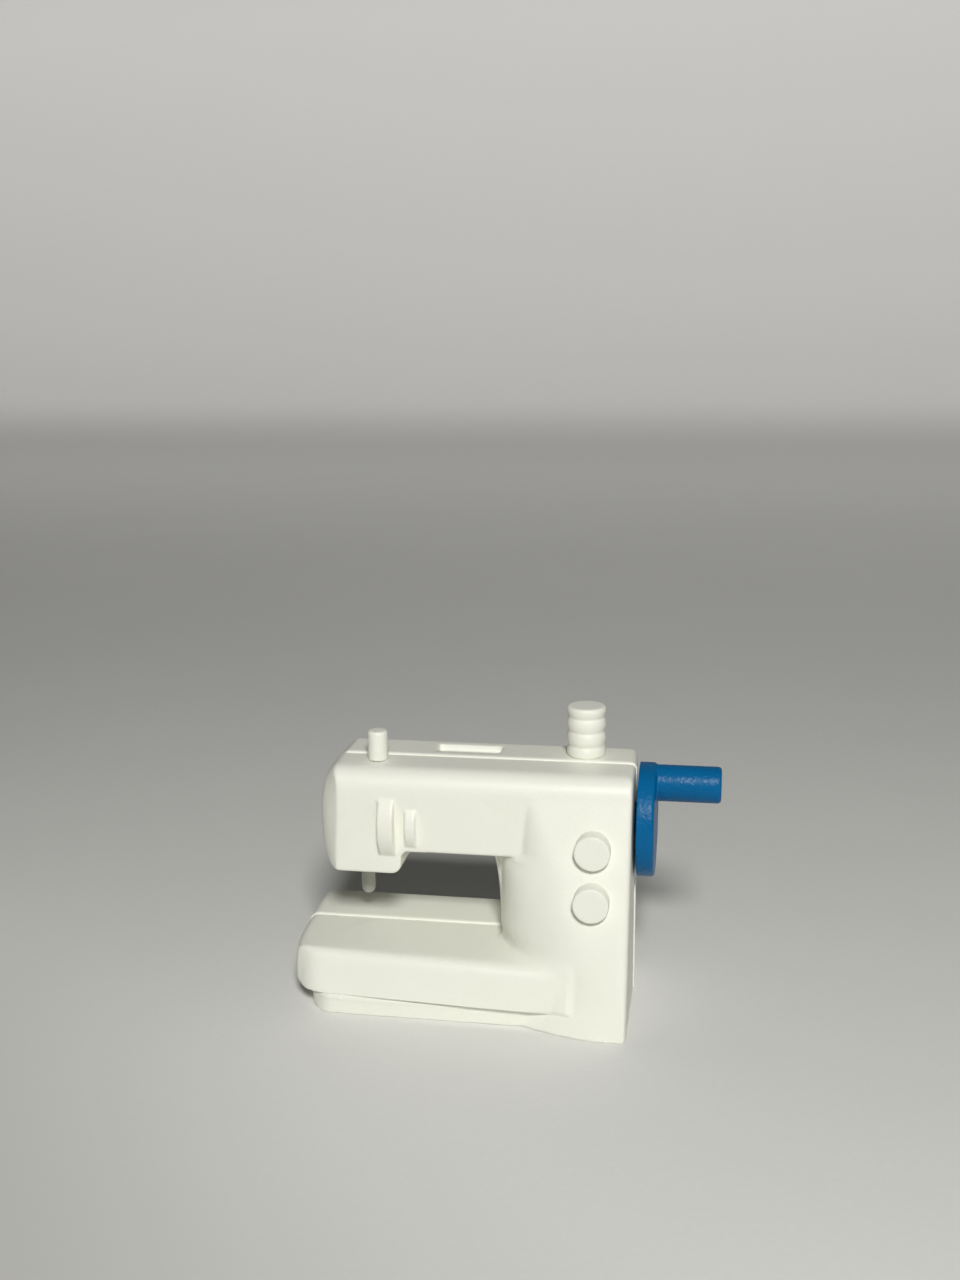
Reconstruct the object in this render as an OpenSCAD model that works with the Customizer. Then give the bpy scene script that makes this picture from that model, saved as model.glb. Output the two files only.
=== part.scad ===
// Toy sewing machine with a hand crank: two moulded shells joined on one upright seam,
// a crank that turns a shaft along the arm, and a needle that the shaft lifts and drops.
// X runs along the bed to the crank, Y runs to the back, Z is up. The seam is the plane Y = 0.

/* [Body] */
// Length of the front shell, from the free end of the bed to the crank side
body_l = 62; // [56:1:72]
// Height of the front shell's top
body_h = 44.1; // [43:0.1:50]
// Distance from the seam to the foot of the leaning front
foot_d = 20.9; // [20:0.1:23]
// Lean of the column's front, in degrees
front_lean = 15; // [12:0.5:16]
// Distance from the seam to the back, at the floor
back_d = 11.7; // [11:0.1:14]
// Lean of the flat back, in degrees
back_lean = 3.5; // [1:0.5:4]
// Radius of the back's top edge
back_r = 1.2; // [0.8:0.1:1.8]
// Radius of the upright corners of the back
back_corner_r = 2.4; // [1.8:0.1:3.4]

/* [Shells] */
// Thickness of the moulded walls
wall = 1.6; // [1.2:0.1:1.8]
// How far the rear shell stands proud of the front shell along the seam
seam_step = 0.3; // [0.1:0.05:0.5]

/* [Arm and head] */
// Height of the arm, from its underside to its top
arm_h = 15.1; // [14.5:0.1:16]
// Height of the head, from its underside to its top
head_h = 19.5; // [18.7:0.1:21]
// Distance from the free end of the bed to the end of the head
head_inset = 4.6; // [3:0.1:6]
// Length of the head along the arm
head_l = 15.9; // [15.4:0.1:18]
// Radius of the arm's long top edge and of the upright edge at the head's end
arm_r = 3.7; // [2.6:0.1:4.5]
// Radius of the top edge at the head's end
head_top_r = 2.2; // [1.8:0.1:3]
// Radius under the end of the head
head_r = 4; // [2.6:0.1:4.6]
// Radius under the inner side of the head
head_side_r = 1.9; // [1.7:0.1:2.6]
// Hollow radius between the head and the arm
web_r = 1.4; // [1:0.1:2]
// Radius of the edges on the crank side
side_r = 1; // [0.6:0.1:1.5]

/* [Column] */
// Width of the column along the body
column_w = 23.9; // [21:0.1:26]
// Hollow radius where the column meets the arm, in the arch
arch_r = 3; // [2:0.1:4]
// Distance from the crank side to the tip of the scoop
scoop_tip = 17.2; // [16:0.1:20]
// How far the scoop's cone comes to its point above that tip
scoop_rise = 5; // [4.5:0.1:7]
// Half angle of the conical scoop, in degrees
scoop_angle = 29.5; // [26:0.5:32]
// Slant of the line where the scoop runs out into the front, in degrees
scoop_slant = 23; // [20:0.5:25]
// Distance from the seam to the scoop's flat back
scoop_back = 3.6; // [3:0.1:5]

/* [Bed] */
// Height of the front shell's bed
bed_h = 11.3; // [10:0.1:13]
// Height of the ledge under the bed's block
ledge_h = 3.3; // [2.6:0.1:4]
// Distance from the seam to the foot of the block
block_d = 19.2; // [18.2:0.1:20]
// Lean of the block's front, in degrees
block_lean = 12; // [8:0.5:15]
// Length of the block, from the free end of the bed
block_l = 54; // [50:0.1:55]
// Radius of the block's front corner, seen from above
block_corner_r = 4.6; // [3:0.1:7]
// Radius of the bed's edges, along its front and at its free end
bed_r = 1.9; // [1.7:0.1:2.4]
// Distance from the seam to the front of the plinth
plinth_d = 17.2; // [16:0.1:17.6]
// How far the plinth is set in from the free end of the bed
plinth_inset = 3; // [2:0.1:4]
// Radius of the plinth's front corner
plinth_corner_r = 6.4; // [4:0.1:8]

/* [Top of the rear shell] */
// Length of the recess in the top
recess_l = 12; // [8:0.1:14]
// Distance from the crank side to the recess
recess_side = 25.2; // [22:0.1:28]
// Distance from the seam to the front edge of the recess
recess_front = 1.6; // [1:0.1:2.4]
// Distance from the seam to the recess's back wall
recess_back = 6.2; // [5:0.1:6.8]
// Depth of the recess at its back wall
recess_h = 1.3; // [0.8:0.1:1.6]

/* [Crank] */
// Distance from the top of the front shell down to the crank's axis
crank_drop = 10.3; // [9.7:0.1:10.7]
// Radius of the crank wheel
crank_r = 10.3; // [8.5:0.1:11]
// Thickness of the crank wheel
crank_t = 3.1; // [2.5:0.1:5]
// Gap between the wheel and the rear shell
crank_gap = 0.35; // [0.3:0.05:0.8]
// Radius of the handle
handle_r = 3.3; // [2.5:0.1:4]
// Length of the handle
handle_l = 11.5; // [8:0.1:16]
// Radius of the wheel's and the handle's edges
crank_edge_r = 0.6; // [0.3:0.1:0.9]
// Radius of the journal that turns in the side wall
journal_r = 2.8; // [2.4:0.1:3]
// Radius of the flange that holds the crank in the wall
flange_r = 4; // [3.6:0.1:4.6]
// Thickness of that flange
flange_t = 1.4; // [1:0.1:2]

/* [Drive] */
// Radius of the drive shaft
shaft_r = 1.5; // [1.2:0.1:1.7]
// Depth of the flats on the shaft's ends
shaft_flat = 0.4; // [0.2:0.1:0.6]
// Throw of the eccentric, half the needle's stroke
throw = 2.1; // [1.5:0.1:2.1]
// Radius of the eccentric's disc
eccentric_r = 3.5; // [3.4:0.1:3.7]
// Thickness of the eccentric's disc
eccentric_t = 2.8; // [2:0.1:3]
// Radius of the eccentric's pin
pin_r = 1; // [0.7:0.1:1.1]
// Gap between the pin's end and the yoke
pin_gap = 0.35; // [0.3:0.05:0.6]
// Thickness of the shaft's bearing ribs
rib_t = 1.5; // [1.2:0.1:1.8]
// Radial running clearance of the shaft, the journal and the needle
run_clear = 0.1; // [0.05:0.01:0.1]

/* [Needle] */
// Distance from the free end of the bed to the needle
needle_inset = 11.8; // [11.2:0.1:12.2]
// Radius of the needle
needle_r = 1.3; // [1:0.1:1.5]
// Gap between the needle's tip and the bed at the bottom of its stroke
needle_gap = 0.6; // [0.4:0.1:1.2]
// Thickness of the yoke along the shaft
yoke_t = 2.3; // [2:0.1:2.6]
// Margin of the yoke around its slot
yoke_margin = 1.4; // [1:0.1:1.6]
// Wall of the tube that guides the needle in the head
guide_wall = 1.2; // [0.8:0.1:1.5]
// Height of that tube inside the head
guide_h = 2.1; // [1.5:0.1:2.2]

/* [Thread spool and thread post] */
// Distance from the crank side to the spool
spool_side = 9.35; // [8:0.05:11]
// Distance from the seam to the spool's axis
spool_back = 3.9; // [3.9:0.1:4.4]
// Radius of the spool's ribs
spool_r = 3.6; // [3:0.1:3.6]
// Height of the spool
spool_h = 9.3; // [7:0.1:12]
// Number of grooves round the spool
spool_grooves = 3; // [2:1:4]
// Depth of those grooves
groove_depth = 0.35; // [0.2:0.05:0.8]
// Distance from the free end of the bed to the thread post
post_inset = 15.1; // [14:0.1:17]
// Distance from the seam to the thread post
post_front = 3; // [2.4:0.1:3.6]
// Radius of the thread post
post_r = 1.85; // [1.5:0.05:2.1]
// Height of the thread post
post_h = 5.5; // [4:0.1:8]
// Radius of the pegs that hold the spool, the post and the dials
peg_r = 1.2; // [0.9:0.1:1.3]
// How far those pegs reach past the wall
peg_past = 0.4; // [0.2:0.1:0.6]

/* [Dials] */
// Distance from the crank side to the dials
dial_side = 6.6; // [6:0.1:9]
// Distance from the top of the front shell down to the upper dial
dial_drop = 11.9; // [10.7:0.1:12.5]
// Distance between the two dials
dial_pitch = 8.7; // [7:0.1:11]
// Radius of the dials
dial_r = 3.2; // [2.5:0.1:3.4]
// How far a dial's middle stands out from the leaning front
dial_out = 2.4; // [1.6:0.1:3.5]

/* [Head front] */
// Width of the large wheel rim on the head
large_rim_w = 2.9; // [2:0.1:3.4]
// Height of the large rim
large_rim_h = 10.8; // [8:0.1:11.5]
// How far the large rim stands out
large_rim_out = 2.1; // [1.2:0.1:2.6]
// Distance from the head's inner side to the large rim
large_rim_side = 1; // [0.8:0.1:1.8]
// Width of the small rim
small_rim_w = 1.9; // [1.2:0.1:2.4]
// Height of the small rim
small_rim_h = 7.2; // [5:0.1:8]
// How far the small rim stands out
small_rim_out = 1.4; // [0.8:0.1:1.8]
// Gap between the two rims
rim_gap = 2; // [1.6:0.1:2.6]
// Distance from the top down to both rims' middles
rim_drop = 10.6; // [9.7:0.1:11.1]

/* [Screws] */
// Radius of the screws' shanks
screw_r = 0.9; // [0.7:0.05:1]
// Radius of the screws' heads
screw_head_r = 1.7; // [1.5:0.1:1.8]
// Height of the screws' heads
screw_head_h = 1.1; // [0.8:0.1:1.4]
// How far the screws reach into the front shell
screw_bite = 6; // [4:0.1:7]
// Radial clearance of the screws in the rear shell
screw_clear = 0.2; // [0.1:0.05:0.3]
// Wall of the screw bosses
boss_wall = 1.1; // [0.9:0.1:1.2]

/* [Hidden] */
$fn = 64;

// Room that cutters and cavities run past what they cut
cut = 1;
// Least radius of the corners inside the shells
least_r = 0.2;
// How far a round that runs out into a leaning face stands past it, so that the two cross in a clean line
cross = 0.004;
// Length that is surely past the whole object
far = 2 * (body_l + body_h);

// Faces along X
free_x = -body_l / 2;
side_x = body_l / 2;
head_x = free_x + head_inset;
head_side_x = head_x + head_l;
column_x = side_x - column_w;
block_x = free_x + block_l;
plinth_x = free_x + plinth_inset;

// The arm's front is where the leaning front reaches the foot of the top radius
column_top = body_h - arm_r;
arm_d = foot_d - tan(front_lean) * column_top;

// Heights that hang from the top
arm_under = body_h - arm_h;
head_under = body_h - head_h;
crank_z = body_h - crank_drop;
rim_z = body_h - rim_drop;
dial_upper_z = body_h - dial_drop;
dial_lower_z = dial_upper_z - dial_pitch;

// Faces of the rear shell
rear_side_x = side_x + seam_step;
rear_top = body_h + seam_step;

// The crank and the shaft
wheel_x = rear_side_x + crank_gap;
flange_x = side_x - wall - crank_gap;
handle_z = crank_r - handle_r;

// The drive inside the head
needle_x = free_x + needle_inset;
yoke_x = needle_x + yoke_t / 2;
pin_x = yoke_x + pin_gap;
disc_x = head_side_x - wall - crank_gap - eccentric_t;
rib_x = head_side_x;
slot_h = 2 * (pin_r + run_clear);
slot_w = 2 * throw + slot_h;
yoke_w = slot_w + 2 * yoke_margin;
yoke_h = slot_h + 2 * yoke_margin;
yoke_z = crank_z + throw;
needle_tip = bed_h + seam_step + needle_gap + 2 * throw;

// Places of pieces on the shells
spool_x = side_x - spool_side;
post_x = free_x + post_inset;
dial_x = side_x - dial_side;
large_rim_x = head_side_x - large_rim_side - large_rim_w;
small_rim_x = large_rim_x + large_rim_w + rim_gap;
recess_x = side_x - recess_side - recess_l;

// The screws' bosses stand in the four corners of the shells
boss_r = screw_head_r + screw_clear + boss_wall;
boss_room = wall / 2 + boss_r;
boss_low = ledge_h + (bed_h - ledge_h) / 2;
boss_high = body_h - boss_room;
SCREWS = [[free_x + plinth_inset + boss_room + cut, boss_low],
          [side_x - boss_room - cut, boss_low],
          [side_x - boss_room - cut, boss_high],
          [head_side_x + boss_room + rib_t, boss_high]];
// The screws' heads sit this far behind the seam
head_seat = wall + cut;

shell_colour = "#efeee2";
crank_colour = "#00619c";
inner_colour = "#dcdcd4";
steel_colour = "#a9adb2";

// Radius r of an outer corner on a face that is moved out by g, or in where g is negative
function eased(r, g) = max(r + g, least_r);

// Outlines

// The sliver between a sharp corner at the origin and a round one, on the side of +x, +y.
// It is cut from an outer corner, and it fills a hollow one.
module corner(r) {
    difference() {
        translate([-cut, -cut]) square(r + cut);
        translate([r, r]) circle(r);
    }
}

// A rectangle between two corners
module between(low, high) {
    translate(low) square(high - low);
}

// Section that rounds the edge between a flat top and a leaning face, and leaves that face free below.
// x runs out from the seam, y is the height, and g moves every face outwards.
module edge_section(d, lean, h, r, g) {
    top = h + g;
    edge_r = eased(r, g);
    face = d + g / cos(lean);
    mid = [face - tan(lean) * (top - edge_r) - edge_r / cos(lean), top - edge_r];
    touch_y = mid[1] + edge_r * sin(lean);
    round_mid = lean > 0 ? mid + [cross, 0] : mid;
    between([-cut, -cut], [far, touch_y]);
    between([-cut, -cut], [round_mid[0], top]);
    translate(round_mid) circle(edge_r);
}

// The arm and the head, seen from the front
module arm_outline(g) {
    top = body_h + g;
    difference() {
        union() {
            between([head_x - g, arm_under - g], [side_x + g, top]);
            between([head_x - g, head_under - g], [head_side_x + g, top]);
            translate([head_side_x + g, arm_under - g]) mirror([0, 1]) corner(web_r - g / 2);
        }
        translate([head_x - g, top]) mirror([0, 1]) corner(eased(head_top_r, g));
        translate([head_x - g, head_under - g]) corner(eased(head_r, g));
        translate([head_side_x + g, head_under - g]) mirror([1, 0]) corner(eased(head_side_r, g));
        translate([side_x + g, top]) rotate(180) corner(eased(side_r, g));
    }
}

// The column and its hollow corner under the arm, seen from the front
module column_outline(g) {
    between([column_x - g, -cut], [side_x + g, column_top]);
    translate([column_x - g, arm_under - g]) rotate(180) corner(arch_r - g / 2);
}

// The bed's block, seen from the front
module block_outline(g) {
    difference() {
        between([free_x - g, ledge_h - g], [block_x + g, bed_h + g]);
        translate([free_x - g, bed_h + g]) mirror([0, 1]) corner(eased(bed_r, g));
        translate([free_x - g, ledge_h - g]) corner(eased(bed_r, g));
    }
}

// The plinth under the block, seen from the front
module plinth_outline(g) {
    between([plinth_x - g, -cut], [block_x + g, ledge_h + 2 * wall]);
}

// A plan from the seam to the front or the back, with its corner at the free end rounded
module corner_plan(x, d, r) {
    difference() {
        between([x, -cut], [side_x + far, d]);
        translate([x, d]) mirror([0, 1]) corner(r);
    }
}

// Solids from outlines, with out as the side of the seam that they lie on: 1 behind it, -1 in front

// An outline seen from the front, carried away from the seam
module from_seam(out, lap) {
    flip = out > 0 ? [0, 1, 0] : [0, 0, 0];
    mirror(flip) rotate([90, 0, 0]) translate([0, 0, -lap]) linear_extrude(far) children();
}

// A section carried along the body
module along_body(out) {
    flip = out > 0 ? [0, 0, 0] : [0, 1, 0];
    mirror(flip) translate([-far / 2, 0, 0]) rotate([90, 0, 90]) linear_extrude(far) children();
}

// A plan carried upwards
module upwards(out) {
    flip = out > 0 ? [0, 0, 0] : [0, 1, 0];
    mirror(flip) translate([0, 0, -far / 2]) linear_extrude(far) children();
}

// What lies inside a leaning face, between two upright sides that meet it in round edges
module leaning_block(out, d, lean, g, x0, r0, r1) {
    flip = out > 0 ? [0, 0, 0] : [0, 1, 0];
    mirror(flip)
        translate([0, d + g / cos(lean), 0])
            rotate([lean, 0, 0])
                translate([0, 0, -far / 2])
                    linear_extrude(far)
                        difference() {
                            between([x0 - g, -far], [side_x + g, 0]);
                            translate([x0 - g, 0]) mirror([0, 1]) corner(eased(r0, g));
                            translate([side_x + g, 0]) rotate(180) corner(eased(r1, g));
                        }
}

// Everything above the height z
module above(z) {
    translate([-far / 2, -far / 2, z]) cube(far);
}

// The front shell's arm and head
module front_arm(g, lap) {
    intersection() {
        from_seam(-1, lap) arm_outline(g);
        along_body(-1) edge_section(arm_d, 0, body_h, arm_r, g);
        upwards(-1) corner_plan(head_x - g, arm_d + g, eased(arm_r, g));
    }
}

// What the scoop takes from the column: all in front of its cone, left of the line where it runs out
module scoop(g) {
    difference() {
        intersection() {
            translate([side_x - scoop_tip, -arm_d, column_top])
                rotate([-front_lean, 0, 0])
                    rotate([0, -scoop_slant, 0])
                        translate([-far, -far / 2, -far / 2]) cube(far);
            translate([-far / 2, -far - scoop_back - g, -far / 2]) cube(far);
        }
        translate([side_x - scoop_tip, -arm_d, column_top])
            rotate([-front_lean, 0, 0])
                rotate([0, -scoop_slant, 0])
                    translate([0, -cross, scoop_rise]) rotate([scoop_angle, 0, 0])
                        translate([0, 0, g / sin(scoop_angle) - body_l])
                            cylinder(h = body_l, r1 = body_l * tan(scoop_angle), r2 = 0);
    }
}

// The front shell's column, with its leaning front and the scoop beside the arch
module front_column(g, lap) {
    difference() {
        intersection() {
            from_seam(-1, lap) column_outline(g);
            leaning_block(-1, foot_d, front_lean, g, free_x, side_r, side_r);
        }
        scoop(g);
    }
}

// The front shell's bed
module front_bed(g, lap) {
    intersection() {
        from_seam(-1, lap) block_outline(g);
        along_body(-1) edge_section(block_d, block_lean, bed_h, bed_r, g);
        leaning_block(-1, block_d, block_lean, g, free_x, block_corner_r, side_r);
    }
}

// The front shell's plinth
module front_plinth(g, lap) {
    intersection() {
        from_seam(-1, lap) plinth_outline(g);
        upwards(-1) corner_plan(plinth_x - g, plinth_d + g, eased(plinth_corner_r, g));
    }
}

// The whole front of the body, down to the height floor_z
module front_form(g, lap, floor_z) {
    intersection() {
        union() {
            front_arm(g, lap);
            front_column(g, lap);
            front_bed(g, lap);
            front_plinth(g, lap);
        }
        above(floor_z);
    }
}

// The whole back of the body, one flat-backed tray with the outline of the front
module rear_form(g, lap, floor_z) {
    intersection() {
        union() {
            intersection() {
                from_seam(1, lap) union() {
                    arm_outline(g);
                    column_outline(g);
                }
                leaning_block(1, back_d, back_lean, g, head_x, back_corner_r, back_corner_r);
            }
            intersection() {
                from_seam(1, lap) union() {
                    block_outline(g);
                    plinth_outline(g);
                }
                leaning_block(1, back_d, back_lean, g, free_x, back_corner_r, back_corner_r);
            }
        }
        along_body(1) edge_section(back_d, back_lean, body_h, back_r, g);
        above(floor_z);
    }
}

// Shared features of the shells

// A cylinder along Y from y0 to y1
module along_y(x, y0, y1, z, r) {
    translate([x, y0, z]) rotate([-90, 0, 0]) cylinder(h = y1 - y0, r = r);
}

// A cylinder along X from x0 to x1, on the crank's axis
module on_axis(x0, x1, r) {
    translate([x0, 0, crank_z]) rotate([0, 90, 0]) cylinder(h = x1 - x0, r = r);
}

// The rib that carries the shaft's inner end, across the whole arm
module bearing_rib() {
    translate([rib_x, -far / 2, arm_under]) cube([rib_t, far, body_h - arm_under]);
}

// The tube that guides the needle through the head's underside
module needle_guide() {
    translate([needle_x, 0, head_under - seam_step])
        cylinder(h = guide_h + wall + seam_step, r = needle_r + run_clear + guide_wall);
}

// The holes of the shaft, the journal and the needle, halved by the seam
module running_holes() {
    on_axis(rib_x - cut, rib_x + rib_t + cut, shaft_r + run_clear);
    on_axis(side_x - wall - cut, rear_side_x + cut, journal_r + run_clear);
    translate([needle_x, 0, head_under - seam_step - cut])
        cylinder(h = guide_h + wall + seam_step + 2 * cut, r = needle_r + run_clear);
}

// The rim of a wheel that stands out of the head's front
module wheel_rim(x, w, h, out) {
    r = (pow(h / 2, 2) + pow(out, 2)) / (2 * out);
    intersection() {
        translate([x, r - arm_d - out, rim_z]) rotate([0, 90, 0]) cylinder(h = w, r = r);
        translate([-far / 2, -far - arm_d + wall / 2, 0]) cube(far);
    }
}

// The wedge cut into the rear shell's top, deepest at its back wall
module top_recess(g) {
    slope = atan(recess_h / (recess_back - recess_front));
    intersection() {
        translate([recess_x - g, recess_front - cut - g, rear_top - recess_h - 2 * g - cut])
            cube([recess_l + 2 * g, recess_back - recess_front + cut + 2 * g, recess_h + 2 * g + 2 * cut]);
        translate([recess_x - g, recess_front, rear_top - g])
            rotate([-slope, 0, 0])
                translate([0, -cut - g, 0]) cube([recess_l + 2 * g, body_l, body_l]);
    }
}

// Sub-parts

// Front shell: arm, head, column, bed and plinth in one moulding
module front_shell() {
    color(shell_colour)
        difference() {
            union() {
                difference() {
                    union() {
                        front_form(0, 0, 0);
                        wheel_rim(large_rim_x, large_rim_w, large_rim_h, large_rim_out);
                        wheel_rim(small_rim_x, small_rim_w, small_rim_h, small_rim_out);
                    }
                    front_form(-wall, cut, wall);
                }
                intersection() {
                    front_form(0, 0, 0);
                    union() {
                        bearing_rib();
                        needle_guide();
                        for (s = SCREWS) along_y(s[0], -far, 0, s[1], boss_r);
                    }
                }
            }
            running_holes();
            for (s = SCREWS) along_y(s[0], -screw_bite - cut, cut, s[1], screw_r);
            translate([post_x, -post_front, body_h - wall - cut]) cylinder(h = wall + 2 * cut, r = peg_r);
            for (z = [dial_upper_z, dial_lower_z]) along_y(dial_x, -foot_d, -arm_d + wall, z, peg_r);
        }
}

// Rear shell: the flat-backed half, slightly proud of the front one
module rear_shell() {
    color(shell_colour)
        difference() {
            union() {
                difference() {
                    rear_form(seam_step, 0, 0);
                    rear_form(-wall, cut, wall);
                }
                intersection() {
                    rear_form(seam_step, 0, 0);
                    union() {
                        bearing_rib();
                        needle_guide();
                        top_recess(wall);
                        for (s = SCREWS) along_y(s[0], 0, far, s[1], boss_r);
                    }
                }
            }
            running_holes();
            top_recess(0);
            for (s = SCREWS) {
                along_y(s[0], -cut, far, s[1], screw_r + screw_clear);
                along_y(s[0], head_seat, far, s[1], screw_head_r + screw_clear);
            }
            translate([spool_x, spool_back, rear_top - wall - seam_step - cut])
                cylinder(h = wall + seam_step + 2 * cut, r = peg_r);
        }
}

// Section of a round piece with a rounded rim, for turning: y is the height, x the radius
module rim_section(r, h, edge) {
    between([0, 0], [r, h - edge]);
    between([0, 0], [r - edge, h]);
    translate([r - edge, h - edge]) circle(edge);
}

// The shaft's end flat, which keys the crank and the eccentric
module keyed(x0, x1, r) {
    difference() {
        on_axis(x0, x1, r);
        translate([x0 - cut, -far / 2, crank_z + shaft_r - shaft_flat]) cube([x1 - x0 + 2 * cut, far, far]);
    }
}

// Crank: wheel, handle, journal and flange in one moulding
module crank_wheel() {
    color(crank_colour)
        difference() {
            union() {
                translate([wheel_x, 0, crank_z]) rotate([0, 90, 0]) {
                    rotate_extrude() rim_section(crank_r, crank_t, crank_edge_r);
                    translate([-handle_z, 0, 0])
                        rotate_extrude() rim_section(handle_r, crank_t + handle_l, crank_edge_r);
                }
                on_axis(flange_x, wheel_x + cut, journal_r);
                on_axis(flange_x - flange_t, flange_x, flange_r);
            }
            keyed(flange_x - flange_t - cut, wheel_x + crank_t / 2, shaft_r);
        }
}

// Drive shaft, flattened at both ends
module drive_shaft() {
    color(steel_colour) {
        keyed(disc_x, disc_x + eccentric_t, shaft_r);
        on_axis(disc_x + eccentric_t, flange_x - flange_t, shaft_r);
        keyed(flange_x - flange_t, wheel_x + crank_t / 2, shaft_r);
    }
}

// Eccentric: a disc keyed to the shaft, with the pin that lifts the needle
module eccentric() {
    color(inner_colour)
        difference() {
            union() {
                on_axis(disc_x, disc_x + eccentric_t, eccentric_r);
                translate([pin_x, 0, crank_z + throw]) rotate([0, 90, 0])
                    cylinder(h = disc_x - pin_x + shaft_flat, r = pin_r);
            }
            keyed(disc_x - cut, disc_x + eccentric_t + cut, shaft_r);
        }
}

// Needle bar: the slotted yoke and the needle below it
module needle_bar() {
    color(shell_colour) {
        difference() {
            translate([needle_x - yoke_t / 2, -yoke_w / 2, yoke_z - yoke_h / 2]) cube([yoke_t, yoke_w, yoke_h]);
            translate([needle_x - yoke_t, 0, yoke_z]) rotate([0, 90, 0]) {
                for (y = [-throw, throw]) translate([0, y, 0]) cylinder(h = 2 * yoke_t, r = slot_h / 2);
                translate([-slot_h / 2, -throw, 0]) cube([slot_h, 2 * throw, 2 * yoke_t]);
            }
        }
        translate([needle_x, 0, needle_tip + needle_r])
            cylinder(h = yoke_z - yoke_h / 2 - needle_tip - needle_r + yoke_margin / 2, r = needle_r);
        translate([needle_x, 0, needle_tip + needle_r]) sphere(needle_r);
    }
}

// A peg that goes through a top wall, from the height z down
module top_peg(x, y, z, depth) {
    translate([x, y, z - depth]) cylinder(h = depth + cut, r = peg_r);
}

// Thread spool: a reel of rounded ribs pegged into the rear shell's top
module thread_spool() {
    pitch = spool_h / (spool_grooves + 0.5);
    rib_r = (pow(pitch / 2, 2) + pow(groove_depth, 2)) / (2 * groove_depth);
    color(shell_colour) {
        translate([spool_x, spool_back, rear_top])
            rotate_extrude() intersection() {
                rim_section(spool_r, spool_h, crank_edge_r);
                union() {
                    between([0, 0], [spool_r - groove_depth, spool_h]);
                    for (i = [0:spool_grooves]) translate([spool_r - rib_r, (i + 0.25) * pitch]) circle(rib_r);
                }
            }
        top_peg(spool_x, spool_back, rear_top, wall + seam_step + peg_past);
    }
}

// Thread post: a plain pin pegged into the front shell's top
module thread_post() {
    color(shell_colour) {
        translate([post_x, -post_front, body_h]) rotate_extrude() rim_section(post_r, post_h, crank_edge_r);
        top_peg(post_x, -post_front, body_h, wall + peg_past);
    }
}

// A dial that faces straight forward from the leaning front, on a peg through the wall
module dial(z) {
    front_y = -foot_d + tan(front_lean) * z;
    color(shell_colour) {
        difference() {
            translate([dial_x, front_y + dial_r, z]) rotate([90, 0, 0])
                rotate_extrude() rim_section(dial_r, dial_out + dial_r, crank_edge_r / 2);
            translate([0, -foot_d, 0]) rotate([-front_lean, 0, 0]) translate([-far / 2, 0, -far / 2]) cube(far);
        }
        along_y(dial_x, front_y - dial_out / 2, front_y + wall + peg_past, z, peg_r);
    }
}

module upper_dial() {
    dial(dial_upper_z);
}

module lower_dial() {
    dial(dial_lower_z);
}

// The screws that join the shells, driven in from the back
module shell_screws() {
    color(steel_colour)
        for (s = SCREWS) {
            along_y(s[0], -screw_bite, head_seat, s[1], screw_r);
            along_y(s[0], head_seat, head_seat + screw_head_h, s[1], screw_head_r);
        }
}

front_shell();
rear_shell();
crank_wheel();
drive_shaft();
eccentric();
needle_bar();
thread_spool();
thread_post();
upper_dial();
lower_dial();
shell_screws();
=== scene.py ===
import math
import bpy
from mathutils import Matrix, Vector


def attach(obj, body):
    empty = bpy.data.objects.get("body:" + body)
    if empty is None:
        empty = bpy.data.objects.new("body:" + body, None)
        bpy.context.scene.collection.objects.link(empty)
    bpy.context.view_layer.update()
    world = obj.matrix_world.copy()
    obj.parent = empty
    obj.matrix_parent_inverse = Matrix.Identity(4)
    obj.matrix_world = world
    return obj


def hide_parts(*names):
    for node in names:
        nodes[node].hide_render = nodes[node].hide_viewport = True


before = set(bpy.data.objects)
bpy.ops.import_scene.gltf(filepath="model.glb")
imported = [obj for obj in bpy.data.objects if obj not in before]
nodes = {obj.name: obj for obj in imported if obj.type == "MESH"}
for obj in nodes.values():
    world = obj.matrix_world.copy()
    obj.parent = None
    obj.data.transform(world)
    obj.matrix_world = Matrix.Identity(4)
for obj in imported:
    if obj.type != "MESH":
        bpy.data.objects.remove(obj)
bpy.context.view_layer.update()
bpy.ops.object.select_all(action="DESELECT")
scene = bpy.context.scene
scene.view_settings.view_transform = "Standard"
print("frame loaded, nodes:", len(nodes))


# camera, fitted to the photo: 1400 px focal length on a 1280 px tall frame
view = {"place": (0.0442, -0.2414, 0.1237), "yaw": -9.74, "pitch": 13.20, "roll": -0.67,
        "lens": 39.4, "sensor": 36, "clip": 0.005}


def setCamera():
    yaw, pitch, roll = (math.radians(view[k]) for k in ("yaw", "pitch", "roll"))
    ahead = Vector((math.sin(yaw) * math.cos(pitch), math.cos(yaw) * math.cos(pitch), -math.sin(pitch)))
    level = Vector((math.cos(yaw), -math.sin(yaw), 0))
    upright = level.cross(ahead)
    right = level * math.cos(roll) + upright * math.sin(roll)
    up = upright * math.cos(roll) - level * math.sin(roll)
    bpy.ops.object.camera_add()
    cam = bpy.context.object
    cam.name = "photoCamera"
    cam.data.lens = view["lens"]
    cam.data.sensor_width = view["sensor"]
    cam.data.sensor_fit = "AUTO"
    cam.data.clip_start = view["clip"]
    turn = Matrix((right, up, -ahead)).transposed()
    cam.matrix_world = Matrix.Translation(Vector(view["place"])) @ turn.to_4x4()
    scene.camera = cam


setCamera()
print("camera set")


# small helpers for working as by hand
def only(obj):
    if bpy.context.mode != "OBJECT":
        bpy.ops.object.mode_set(mode="OBJECT")
    bpy.ops.object.select_all(action="DESELECT")
    obj.select_set(True)
    bpy.context.view_layer.objects.active = obj


def addModifier(obj, kind, **settings):
    only(obj)
    mod = obj.modifiers.new(kind.lower(), kind)
    for k, v in settings.items():
        setattr(mod, k, v)
    bpy.ops.object.modifier_apply(modifier=mod.name)


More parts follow.
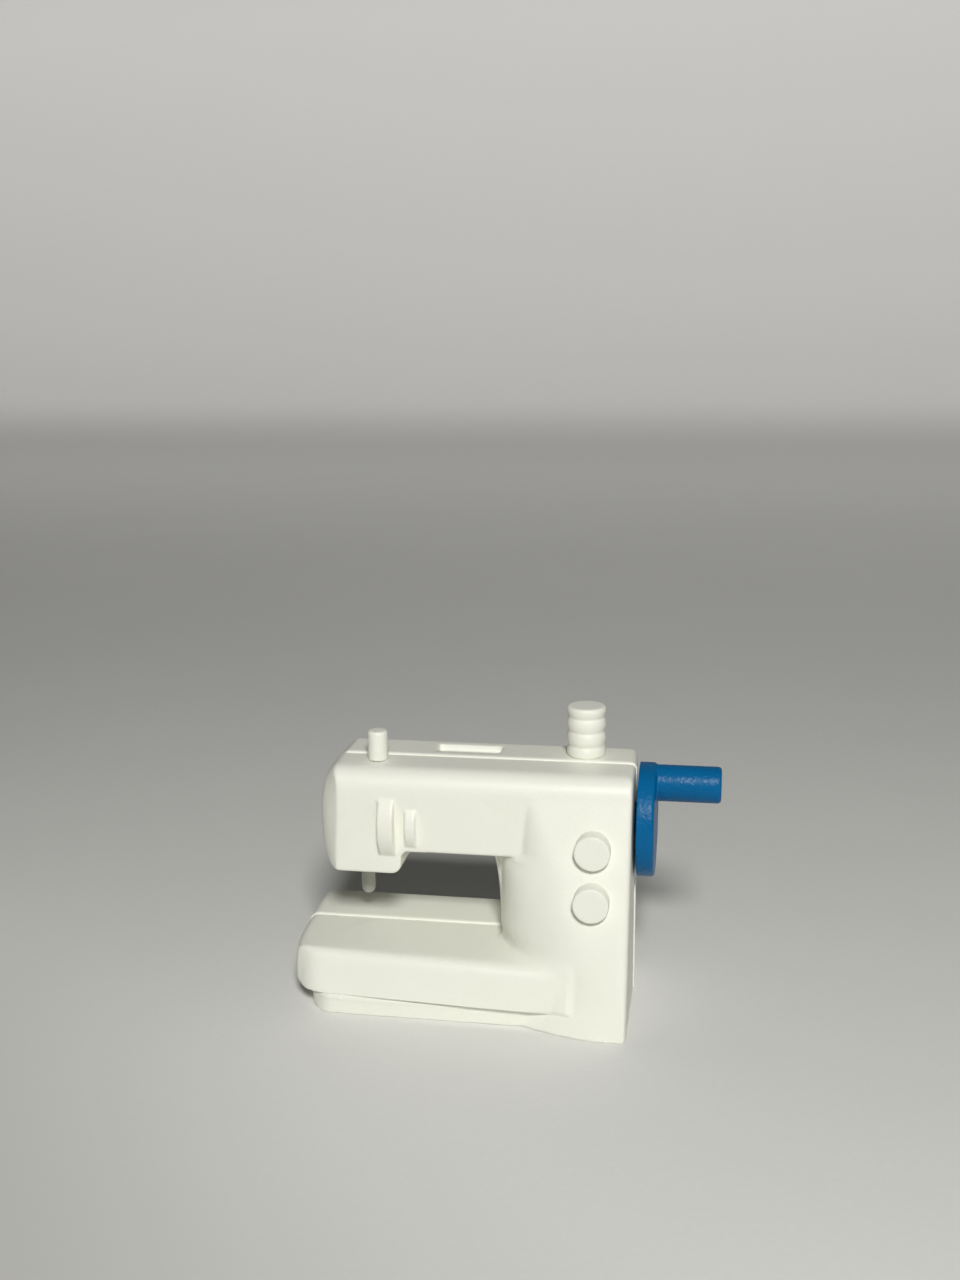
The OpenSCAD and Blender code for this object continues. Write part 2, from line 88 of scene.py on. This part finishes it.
# a CAD mesh is cleaned first: points this near become one, and faces this flat to each other become one
cleaning = {"near": 2e-6, "flat": 0.4}


def copyOf(nodeName, name):
    obj = bpy.data.objects.new(name, nodes[nodeName].data.copy())
    scene.collection.objects.link(obj)
    obj.data.materials.clear()
    only(obj)
    bpy.ops.object.mode_set(mode="EDIT")
    bpy.ops.mesh.select_all(action="SELECT")
    bpy.ops.mesh.remove_doubles(threshold=cleaning["near"])
    bpy.ops.mesh.dissolve_limited(angle_limit=math.radians(cleaning["flat"]))
    bpy.ops.object.mode_set(mode="OBJECT")
    return obj


# materials: a Sock is one output in a node tree, and a Shop makes one material
class Sock:
    def __init__(self, tree, out):
        self.tree = tree
        self.out = out

    def math(self, op, other, flip=False):
        n = self.tree.nodes.new("ShaderNodeMath")
        n.operation = op
        for i, v in enumerate((other, self) if flip else (self, other)):
            if isinstance(v, Sock):
                self.tree.links.new(v.out, n.inputs[i])
            else:
                n.inputs[i].default_value = v
        return Sock(self.tree, n.outputs[0])

    def __add__(self, other):
        return self.math("ADD", other)

    def __radd__(self, other):
        return self.math("ADD", other, True)

    def __mul__(self, other):
        return self.math("MULTIPLY", other)

    def __rmul__(self, other):
        return self.math("MULTIPLY", other, True)


class Shop:
    def __init__(self, name):
        self.mat = bpy.data.materials.new(name)
        self.mat.use_nodes = True
        self.tree = self.mat.node_tree
        self.bsdf = self.tree.nodes["Principled BSDF"]

    def plug(self, sock, v):
        if isinstance(v, Sock):
            self.tree.links.new(v.out, sock)
        elif sock.type == "RGBA":
            sock.default_value = (*v, 1)
        else:
            sock.default_value = v

    # sockets go by name, or by number as i0, i1 where a node has two of one name
    def node(self, kind, out=0, settings=None, **sockets):
        n = self.tree.nodes.new("ShaderNode" + kind)
        for k, v in (settings or {}).items():
            setattr(n, k, v)
        for k, v in sockets.items():
            numbered = k[0] == "i" and k[1:].isdigit()
            self.plug(n.inputs[int(k[1:]) if numbered else k.replace("_", " ")], v)
        return Sock(self.tree, n.outputs[out])

    def remap(self, value, given, wanted, kind="LINEAR"):
        return self.node("MapRange", 0, {"interpolation_type": kind}, Value=value,
                         i1=given[0], i2=given[1], i3=wanted[0], i4=wanted[1])

    def mixColour(self, fac, a, b):
        return self.node("Mix", 2, {"data_type": "RGBA"}, i0=fac, i6=a, i7=b)

    def feed(self, **sockets):
        for k, v in sockets.items():
            self.plug(self.bsdf.inputs[k.replace("_", " ")], v)


def dimmed(colour, by):
    return tuple(c * by for c in colour)


# warm white plastic: satin, very fine spark-eroded grain, faint handling grime and a few specks
whitePlastic = {"base": (0.895, 0.90, 0.81), "warm": (0.86, 0.855, 0.745), "warmShare": 0.35,
                "grime": (0.42, 0.40, 0.32), "grimeShare": 0.08,
                "speck": (0.12, 0.10, 0.08), "speckShare": 0.55, "speckSize": (0.016, 0.024),
                "rough": (0.35, 0.52), "grain": 0.45, "grainDeep": 0.00010, "ior": 1.49}


# the second argument darkens the whole colour, a painted shade for a piece that lies in shadow
def makeWhite(name, shadeBy=1.0):
    w = whitePlastic
    s = Shop(name)
    at = s.node("TexCoord", 3)
    cloud = s.node("TexNoise", Vector=at, Scale=55, Detail=3, Roughness=0.55)
    tint = s.remap(cloud, (0.35, 0.7), (0.0, w["warmShare"]))
    col = s.mixColour(tint, dimmed(w["base"], shadeBy), dimmed(w["warm"], shadeBy))
    smear = s.node("TexNoise", Vector=at, Scale=140, Detail=6, Roughness=0.7)
    smearMask = s.remap(smear, (0.60, 0.82), (0.0, w["grimeShare"]))
    col = s.mixColour(smearMask, col, w["grime"])
    cells = s.node("TexVoronoi", 0, {"feature": "F1"}, Vector=at, Scale=95, Randomness=1)
    pick = s.node("TexNoise", Vector=at, Scale=31, Detail=1)
    dot = s.remap(cells, w["speckSize"], (1.0, 0.0))
    few = s.remap(pick, (0.60, 0.64), (0.0, w["speckShare"]))
    col = s.mixColour(dot * few, col, w["speck"])
    grain = s.node("TexNoise", Vector=at, Scale=1500, Detail=3, Roughness=0.6)
    rough = s.remap(smear, (0.3, 0.75), w["rough"])
    bump = s.node("Bump", Strength=w["grain"], Distance=w["grainDeep"], Height=grain)
    s.feed(Base_Color=col, Roughness=rough, Normal=bump, IOR=w["ior"])
    return s.mat


# blue plastic: the same grain but deeper, on a smoother face, so the highlights break up
bluePlastic = {"base": (0.0, 0.122, 0.315), "deep": (0.0, 0.10, 0.255), "deepShare": 0.6,
               "scuff": (0.01, 0.18, 0.40), "scuffShare": 0.2,
               "rough": (0.25, 0.40), "grain": 0.6, "grainDeep": 0.00020, "ior": 1.49, "shine": 0.15}


def makeBlue(name):
    b = bluePlastic
    s = Shop(name)
    at = s.node("TexCoord", 3)
    cloud = s.node("TexNoise", Vector=at, Scale=90, Detail=4, Roughness=0.6)
    shade = s.remap(cloud, (0.35, 0.7), (0.0, b["deepShare"]))
    col = s.mixColour(shade, b["base"], b["deep"])
    streak = s.node("TexNoise", Vector=at, Scale=420, Detail=5, Roughness=0.75)
    rub = s.remap(streak, (0.62, 0.8), (0.0, b["scuffShare"]))
    col = s.mixColour(rub, col, b["scuff"])
    grain = s.node("TexNoise", Vector=at, Scale=1500, Detail=2, Roughness=0.6)
    rough = s.remap(streak, (0.3, 0.7), b["rough"])
    bump = s.node("Bump", Strength=b["grain"], Distance=b["grainDeep"], Height=grain)
    s.feed(Base_Color=col, Roughness=rough, Normal=bump, IOR=b["ior"], Specular_IOR_Level=b["shine"])
    return s.mat


# inner drive plastic
innerPlastic = {"light": (0.66, 0.66, 0.60), "dark": (0.58, 0.58, 0.52), "rough": 0.5}


def makeInner(name):
    s = Shop(name)
    at = s.node("TexCoord", 3)
    cloud = s.node("TexNoise", Vector=at, Scale=120, Detail=3)
    col = s.mixColour(cloud, innerPlastic["light"], innerPlastic["dark"])
    s.feed(Base_Color=col, Roughness=innerPlastic["rough"])
    return s.mat


# plain steel
plainSteel = {"light": (0.55, 0.56, 0.58), "dark": (0.40, 0.41, 0.43), "rough": (0.28, 0.48)}


def makeSteel(name):
    s = Shop(name)
    at = s.node("TexCoord", 3)
    lines = s.node("TexNoise", Vector=at, Scale=900, Detail=4, Roughness=0.7)
    rough = s.remap(lines, (0.3, 0.7), plainSteel["rough"])
    col = s.mixColour(lines, plainSteel["light"], plainSteel["dark"])
    s.feed(Base_Color=col, Roughness=rough, Metallic=1.0)
    return s.mat


# the needle is the same white plastic at half its brightness: a painted shade for the head's shadow over it
needleShade = 0.5
white = makeWhite("warmWhitePlastic")
needleShadedWhite = makeWhite("needlePaintedShadePlastic", needleShade)
blue = makeBlue("bluePlastic")
inner = makeInner("innerPlastic")
steel = makeSteel("plainSteel")
print("materials made")


def rampUp(v, low, high):
    return max(0.0, min(1.0, (v - low) / (high - low)))


def softRamp(v, low, high):
    t = rampUp(v, low, high)
    return t * t * (3 - 2 * t)


def inside(co, box):
    return all(box["low"][i] < co[i] < box["high"][i] for i in range(3))


# the shells' edges melt, but not along the seam, and not in the bores of the needle and the journal
seam = {"crisp": 0.0003, "soft": 0.0011}
needleAxis = {"x": -0.0192, "room": 0.0023, "topZ": 0.030}
journalAxis = {"z": 0.0338, "fromX": 0.0280, "room": 0.0036}
# the two thin rims on the head's front keep more of their edges
rims = {"low": (-0.0160, -0.0200, 0.0270), "high": (-0.0060, -0.0096, 0.0400), "melt": 0.12}


def seamWeight(co):
    if math.hypot(co.x - needleAxis["x"], co.y) < needleAxis["room"] and co.z < needleAxis["topZ"]:
        return 0.0
    if co.x > journalAxis["fromX"] and math.hypot(co.y, co.z - journalAxis["z"]) < journalAxis["room"]:
        return 0.0
    if inside(co, rims):
        return rims["melt"]
    return rampUp(abs(co.y), seam["crisp"], seam["soft"])


# the crank melts outside the housing only
crankMelt = {"fromX": 0.0317, "fullX": 0.0322}


def crankWeight(co):
    return rampUp(co.x, crankMelt["fromX"], crankMelt["fullX"])


def everywhere(co):
    return 1.0


# the foot's edge on the floor bends from the plinth out to the column's corner, and the face above it leans
toe = {"edge": 0.0209, "straightX": 0.0275, "radius": 0.0310, "fromX": 0.0115, "toX": 0.0308,
       "lean": 0.268, "lowZ": 0.0005, "fullZ": 0.0033, "topZ": 0.0100, "behind": 0.0140,
       "skin": (0.0004, 0.0012), "lookFromY": -0.1}


def toeAt(x, z):
    bent = max(0.0, toe["straightX"] - x)
    return toe["lean"] * z + bent * bent / 2 / toe["radius"] - toe["edge"]


# pushes the outer face of the foot out to its edge, less and less towards the top of the sweep
def sweepFoot(obj):
    moves = []
    for v in obj.data.vertices:
        x, y, z = v.co
        if not (toe["fromX"] < x < toe["toX"] and z < toe["topZ"] and y < -toe["behind"]):
            continue
        z = max(z, toe["lowZ"])
        hit, at, _, _ = obj.ray_cast(Vector((x, toe["lookFromY"], z)), Vector((0, 1, 0)))
        if not hit:
            continue
        push = min(0.0, toeAt(x, z) - at.y) * (1 - rampUp(z, toe["fullZ"], toe["topZ"]))
        past = y - at.y
        if past <= 0:
            moves.append((v, min(y, at.y + push)))
        else:
            moves.append((v, y + push * (1 - rampUp(past, *toe["skin"]))))
    for v, y in moves:
        v.co.y = y


# the plinth's front corner is tighter than the CAD's
plinthCorner = {"midX": -0.0216, "midY": -0.0107, "cadR": 0.0064, "radius": 0.0042,
                "hold": (0.0020, 0.0048), "fade": (0.0002, 0.0025), "top": (0.0034, 0.0050)}


# how far the tighter corner stands from the middle of the CAD's corner, in the direction (ux, uy)
def cornerReach(ux, uy):
    c = plinthCorner
    straight = c["cadR"] / max(ux, uy)
    tip = c["cadR"] - c["radius"]
    if min(ux, uy) * straight < tip:
        return straight
    aside = tip * (ux - uy)
    return tip * (ux + uy) + math.sqrt(max(0.0, c["radius"] ** 2 - aside * aside))


def squareFoot(obj):
    c = plinthCorner
    for v in obj.data.vertices:
        dx, dy = c["midX"] - v.co.x, c["midY"] - v.co.y
        far = math.hypot(dx, dy)
        if dx > 0 and dy > 0 and far > c["hold"][0] and v.co.z < c["top"][1]:
            push = (cornerReach(dx / far, dy / far) - c["cadR"]) * (1 - rampUp(v.co.z, *c["top"]))
            push *= rampUp(far, *c["hold"]) * (1 - rampUp(far - c["cadR"], *c["fade"]))
            v.co.x -= push * dx / far
            v.co.y -= push * dy / far


# the block's front stands further out beside the column than at the free end, with a groove over the plinth
blockTurn = {"slopeLeft": 0.055, "slopeRight": 0.034, "aboutX": 0.0050, "endX": (0.0204, 0.0217),
             "front": (0.0125, 0.0160), "foot": (0.0026, 0.0032), "top": (0.0112, 0.0122), "ceiling": 0.0140,
             "raised": 0.0009, "raisedX": (0.0100, 0.0190), "lift": 0.0003, "liftZ": (0.0034, 0.0075),
             "face": 0.0171, "cornerX": -0.0238, "cornerR": 0.0042, "groove": 0.00025, "grooveTop": 0.0040,
             "plinthTop": 0.00335, "plinthSkin": 0.0003}


def plinthFace(x):
    into = max(0.0, blockTurn["cornerX"] - x)
    r = blockTurn["cornerR"]
    return r - blockTurn["face"] - math.sqrt(max(0.0, r * r - into * into))


def turnBlock(obj):
    b = blockTurn
    for v in obj.data.vertices:
        x, y, z = v.co
        plinth = z < b["plinthTop"] and y > plinthFace(x) - b["plinthSkin"]
        raised = b["raised"] * rampUp(x, *b["raisedX"])
        front = rampUp(-y, *b["front"]) * rampUp(z - raised, *b["foot"])
        if plinth or front == 0 or z > b["ceiling"]:
            continue
        past = x - b["aboutX"]
        if past < 0:
            v.co.y = y - b["slopeLeft"] * past * front
        else:
            front *= (1 - rampUp(x, *b["endX"])) * (1 - rampUp(z, *b["top"]))
            v.co.y = y - b["slopeRight"] * past * front
        if z < b["grooveTop"] and y < plinthFace(x) and x > b["cornerX"] - b["cornerR"]:
            v.co.y = min(v.co.y, plinthFace(x) + b["groove"])
        v.co.z = z + b["lift"] * front * (1 - rampUp(z, *b["liftZ"]))


# the free ends of the bed and of the head draw in a little towards the front
draft = {"by": 0.0019, "from": 0.0020, "over": 0.0150, "endX": -0.0270, "startX": -0.0140}


def drawIn(obj):
    for v in obj.data.vertices:
        far = max(0.0, -v.co.y - draft["from"]) / draft["over"]
        v.co.x += draft["by"] * far * far * rampUp(-v.co.x, -draft["startX"], -draft["endX"])


# the rear shell draws in at the crank's side
rearDraft = {"by": 0.0007, "over": 0.0117, "startX": 0.0240, "endX": 0.0290}


def drawInRear(obj):
    for v in obj.data.vertices:
        most = rearDraft["by"] * max(0.0, v.co.y) / rearDraft["over"]
        v.co.x -= most * rampUp(v.co.x, rearDraft["startX"], rearDraft["endX"])


# the head's end is rounded back towards its front corner
headCut = {"rise": (0.0220, 0.0350), "innerX": -0.0190, "x": -0.0274, "startY": 0.0030, "over": 0.0069,
           "byLow": 0.0041, "byHigh": 0.0051, "wall": 0.0005}


def cutHead(obj):
    h = headCut
    moves = []
    for v in obj.data.vertices:
        if v.co.z > h["rise"][0] and v.co.y < -h["startY"] and v.co.x < h["innerX"]:
            t = (-v.co.y - h["startY"]) / h["over"]
            by = h["byLow"] + (h["byHigh"] - h["byLow"]) * rampUp(v.co.z, *h["rise"])
            slope = 2 * by * t / h["over"]
            facesIn = v.normal.x + slope * v.normal.y > 0
            edge = h["x"] + by * t * t
            moves.append((v, max(v.co.x, edge + (h["wall"] if facesIn else 0))))
    for v, x in moves:
        v.co.x = x


# the head's end bulges between its top and its underside, and its rear half stays just behind the front one
bulge = {"lowZ": 0.0200, "midZ": 0.0350, "radiusUp": 0.0185, "radiusDown": 0.0620,
         "startX": -0.0215, "endX": -0.0255, "rearBack": 0.00035}


def bulgeHead(obj, further=0.0):
    for v in obj.data.vertices:
        if v.co.z > bulge["lowZ"]:
            off = v.co.z - bulge["midZ"]
            back = further + off * off / 2 / bulge["radiusUp" if off > 0 else "radiusDown"]
            v.co.x += back * rampUp(-v.co.x, -bulge["startX"], -bulge["endX"])


def bulgeRear(obj):
    bulgeHead(obj, bulge["rearBack"])


# the column's edge beside the arch leans over to the head
archEdge = {"foot": (0.0125, 0.0143), "topZ": 0.0285, "fade": 0.0015, "least": 0.0004, "most": 0.0019,
            "grow": (0.0024, 0.0066), "drop": (0.0075, 0.0165), "ahead": 0.0008, "front": (0.0010, 0.0040)}


def leanColumn(obj):
    e = archEdge
    for v in obj.data.vertices:
        x, y, z = v.co
        if e["foot"][0] < z < e["topZ"] + e["fade"] and e["grow"][0] < x < e["drop"][1]:
            up = rampUp(z, e["foot"][1], e["topZ"])
            lean = e["least"] * rampUp(z, *e["foot"]) + (e["most"] - e["least"]) * up * up
            lean *= 1 - rampUp(z, e["topZ"], e["topZ"] + e["fade"])
            ahead = e["ahead"] * softRamp(z, *e["foot"]) * rampUp(-y, *e["front"])
            ahead *= 1 - softRamp(z, e["topZ"] - 2 * e["fade"], e["topZ"])
            share = rampUp(x, *e["grow"]) * (1 - softRamp(x, *e["drop"]))
            v.co.x = x - lean * share
            v.co.y = y - ahead * share


# the crank's hidden journal and flange run a little freer than the CAD's, so that the remeshed bore
# doesn't touch them
journalEase = {"fade": (0.0306, 0.0314), "shrink": 0.05, "flangeX": 0.0293, "back": 0.00012}


def easeJournal(obj):
    for v in obj.data.vertices:
        k = 1 - journalEase["shrink"] * (1 - rampUp(v.co.x, *journalEase["fade"]))
        v.co.y *= k
        v.co.z = journalAxis["z"] + (v.co.z - journalAxis["z"]) * k
        if v.co.x < journalEase["flangeX"]:
            v.co.x -= journalEase["back"]


# softer places of the front, in this order: the scoop on the bed, the sweep of the foot, the bed's front
# edge, the arm's top edge, the scoop beside the arch, the head's front corner and the column's upright edge
blends = [
    {"low": (0.0065, -0.0175, 0.0098), "high": (0.0205, -0.0045, 0.0150), "edge": 0.0018, "passes": 70},
    {"low": (0.0120, -0.0260, -0.0010), "high": (0.0220, -0.0155, 0.0026), "edge": 0.0010, "passes": 10},
    {"low": (-0.0320, -0.0210, 0.0085), "high": (0.0180, -0.0120, 0.0130), "edge": 0.0020, "passes": 90},
    {"low": (-0.0240, -0.0120, 0.0398), "high": (0.0310, -0.0050, 0.0450), "edge": 0.0016, "passes": 40},
    {"low": (0.0060, -0.0085, 0.0130), "high": (0.0112, -0.0020, 0.0282), "edge": 0.0012, "passes": 60},
    {"low": (-0.0280, -0.0120, 0.0272), "high": (-0.0200, -0.0030, 0.0450), "edge": 0.0012, "passes": 90},
    {"low": (0.0290, -0.0230, -0.0010), "high": (0.0320, -0.0085, 0.0390), "edge": 0.0006, "passes": 16},
]


def blendWeight(co, box):
    w = 1.0
    for i in range(3):
        w *= rampUp(co[i], box["low"][i] - box["edge"], box["low"][i])
        w *= 1 - rampUp(co[i], box["high"][i], box["high"][i] + box["edge"])
    return w


# weights go into a vertex group in tenths
def groupBy(obj, name, weight):
    group = obj.vertex_groups.new(name=name)
    steps = {}
    for v in obj.data.vertices:
        steps.setdefault(round(weight(v.co), 1), []).append(v.index)
    for w, found in steps.items():
        if w > 0:
            group.add(found, w, "REPLACE")


# the mouldings: remeshed copies of the CAD nodes with their edges melted as a mould leaves them
mouldings = {
    "frontMoulding": {"node": "front_shell", "body": "housing", "mat": white, "voxel": 0.00026,
                      "melt": seamWeight, "passes": 10, "keep": 0.30, "blends": blends,
                      "shapes": [sweepFoot, squareFoot, turnBlock, drawIn, cutHead, bulgeHead, leanColumn]},
    "rearMoulding": {"node": "rear_shell", "body": "housing", "mat": white, "voxel": 0.00026,
                     "melt": seamWeight, "passes": 8, "keep": 0.30, "blends": [],
                     "shapes": [bulgeRear, drawInRear, leanColumn]},
    "crankMoulding": {"node": "crank_wheel", "body": "crank", "mat": blue, "voxel": 0.00018,
                      "melt": crankWeight, "passes": 10, "keep": 0.6, "blends": [], "shapes": [easeJournal]},
    "upperDial": {"node": "upper_dial", "body": "housing", "mat": white, "voxel": 0.00012,
                  "melt": everywhere, "passes": 9, "keep": 0.6, "blends": [], "shapes": []},
    "lowerDial": {"node": "lower_dial", "body": "housing", "mat": white, "voxel": 0.00012,
                  "melt": everywhere, "passes": 9, "keep": 0.6, "blends": [], "shapes": []},
    "spoolMoulding": {"node": "thread_spool", "body": "housing", "mat": white, "voxel": 0.00014,
                      "melt": everywhere, "passes": 5, "keep": 0.6, "blends": [], "shapes": []},
    "postMoulding": {"node": "thread_post", "body": "housing", "mat": white, "voxel": 0.00012,
                     "melt": everywhere, "passes": 4, "keep": 0.6, "blends": [], "shapes": []},
}
meltFactor = 0.5


def mould(name, spec):
    obj = copyOf(spec["node"], name)
    addModifier(obj, "REMESH", mode="VOXEL", voxel_size=spec["voxel"], adaptivity=0)
    groupBy(obj, "melt", spec["melt"])
    addModifier(obj, "SMOOTH", factor=meltFactor, iterations=spec["passes"], vertex_group="melt")
    for shape in spec["shapes"]:
        shape(obj)
    for i, box in enumerate(spec["blends"]):
        groupBy(obj, f"blend{i}", lambda co: blendWeight(co, box))
        addModifier(obj, "SMOOTH", factor=meltFactor, iterations=box["passes"], vertex_group=f"blend{i}")
    addModifier(obj, "DECIMATE", decimate_type="COLLAPSE", ratio=spec["keep"])
    obj.vertex_groups.clear()
    only(obj)
    bpy.ops.object.shade_smooth()
    obj.data.materials.append(spec["mat"])
    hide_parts(spec["node"])
    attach(obj, spec["body"])
    print("moulded", name, "faces", len(obj.data.polygons))


for name, spec in mouldings.items():
    mould(name, spec)

# the small pieces keep their CAD form
finishes = {"drive_shaft": steel, "eccentric": inner, "needle_bar": needleShadedWhite, "shell_screws": steel}
for name, mat in finishes.items():
    nodes[name].data.materials.clear()
    nodes[name].data.materials.append(mat)
print("finishes on")


# one sweep of pale paper: floor, a wide bend and the wall behind
paper = {"wide": 5.0, "front": -1.2, "bendAt": 1.06, "bend": 0.14, "bendSteps": 12, "tall": 2.4,
         "slack": 0.001}


def makePaper():
    bpy.ops.mesh.primitive_plane_add(size=1)
    sweep = bpy.context.object
    sweep.name = "palePaper"
    bpy.ops.transform.resize(value=(paper["wide"], paper["bendAt"] - paper["front"], 1))
    bpy.ops.transform.translate(value=(0, (paper["bendAt"] + paper["front"]) / 2, 0))
    bpy.ops.object.transform_apply(location=True, rotation=True, scale=True)
    bpy.ops.object.mode_set(mode="EDIT")
    bpy.ops.mesh.select_all(action="DESELECT")
    bpy.ops.object.mode_set(mode="OBJECT")
    for e in sweep.data.edges:
        e.select = all(sweep.data.vertices[i].co.y > paper["bendAt"] - paper["slack"] for i in e.vertices)
    bpy.ops.object.mode_set(mode="EDIT")
    bpy.ops.mesh.select_mode(type="EDGE")
    for i in range(paper["bendSteps"]):
        t0, t1 = (math.pi / 2 * k / paper["bendSteps"] for k in (i, i + 1))
        along = paper["bend"] * (math.sin(t1) - math.sin(t0))
        rise = paper["bend"] * (math.cos(t0) - math.cos(t1))
        bpy.ops.mesh.extrude_region_move(TRANSFORM_OT_translate={"value": (0, along, rise)})
    bpy.ops.mesh.extrude_region_move(TRANSFORM_OT_translate={"value": (0, 0, paper["tall"])})
    bpy.ops.object.mode_set(mode="OBJECT")
    only(sweep)
    bpy.ops.object.shade_smooth()
    sweep.data.materials.append(makePaperLook())


# the paper is darker at the near left, a painted shade for the lamp's falloff, and for the camera it glows
# faintly towards the back and the top, a painted light
paperLook = {"shade": (0.84, 0.84, 0.81), "mottle": 0.95, "fleck": (0.45, 0.45, 0.44), "fleckShare": 0.10,
             "dim": 0.66, "dimSlant": 0.6, "dimBand": (-0.15, -0.045), "rough": 0.85,
             "glowTint": (1.0, 0.985, 0.955), "farBand": (0.02, 0.9), "farGlow": 0.19,
             "lowBand": (0.0, 0.04), "lowGlow": 0.10, "highBand": (0.03, 0.40), "highGlow": 0.12}


def makePaperLook():
    p = paperLook
    s = Shop("palePaper")
    at = s.node("TexCoord", 3)
    side, back, height = (s.node("SeparateXYZ", axis, Vector=at) for axis in range(3))
    cloud = s.node("TexNoise", Vector=at, Scale=14, Detail=5)
    fleck = s.node("TexNoise", Vector=at, Scale=900, Detail=2)
    col = s.mixColour(cloud, p["shade"], dimmed(p["shade"], p["mottle"]))
    col = s.mixColour(fleck * p["fleckShare"], col, p["fleck"])
    # painted shade: darker towards the near left, where the lamp's light falls off
    near = s.remap(side * p["dimSlant"] + back, p["dimBand"], (1.0, 0.0), "SMOOTHSTEP")
    col = s.mixColour(near, col, dimmed(p["shade"], p["dim"]))
    # painted light: for camera rays the paper glows towards the back and the top
    far = s.remap(back, p["farBand"], (0.0, p["farGlow"]), "SMOOTHSTEP")
    low = s.remap(height, p["lowBand"], (0.0, p["lowGlow"]), "SMOOTHSTEP")
    high = s.remap(height, p["highBand"], (0.0, p["highGlow"]))
    seen = s.node("LightPath")
    glow = s.mixColour((far + low + high) * seen, (0, 0, 0), p["glowTint"])
    s.feed(Base_Color=col, Roughness=p["rough"], Emission_Color=glow, Emission_Strength=1.0)
    return s.mat


makePaper()

# one lamp, above and in front, a little to the right
keyLamp = {"place": (0.145, -0.56, 0.49), "aim": (0, 0, 0.02), "size": 0.14, "power": 4.5,
           "tint": (1.0, 0.995, 0.975)}


def makeLamp():
    bpy.ops.object.light_add(type="AREA", location=keyLamp["place"])
    lamp = bpy.context.object
    lamp.name = "key"
    lamp.data.size = keyLamp["size"]
    lamp.data.energy = keyLamp["power"]
    lamp.data.color = keyLamp["tint"]
    beam = Vector(keyLamp["aim"]) - Vector(keyLamp["place"])
    lamp.rotation_euler = beam.to_track_quat("-Z", "Y").to_euler()


makeLamp()

# a dim room, which itself looks pale where the paper ends
room = {"shade": (0.90, 0.90, 0.89, 1), "light": 0.055, "seen": 0.30}


def makeRoom():
    world = bpy.data.worlds.new("room")
    scene.world = world
    world.use_nodes = True
    tree = world.node_tree
    back = tree.nodes["Background"]
    back.inputs["Color"].default_value = room["shade"]
    path = tree.nodes.new("ShaderNodeLightPath")
    direct = Sock(tree, path.outputs["Is Camera Ray"])
    shown = direct.math("MAXIMUM", Sock(tree, path.outputs["Is Glossy Ray"]))
    tree.links.new((shown * room["seen"] + room["light"]).out, back.inputs["Strength"])


makeRoom()
print("stage and light set")
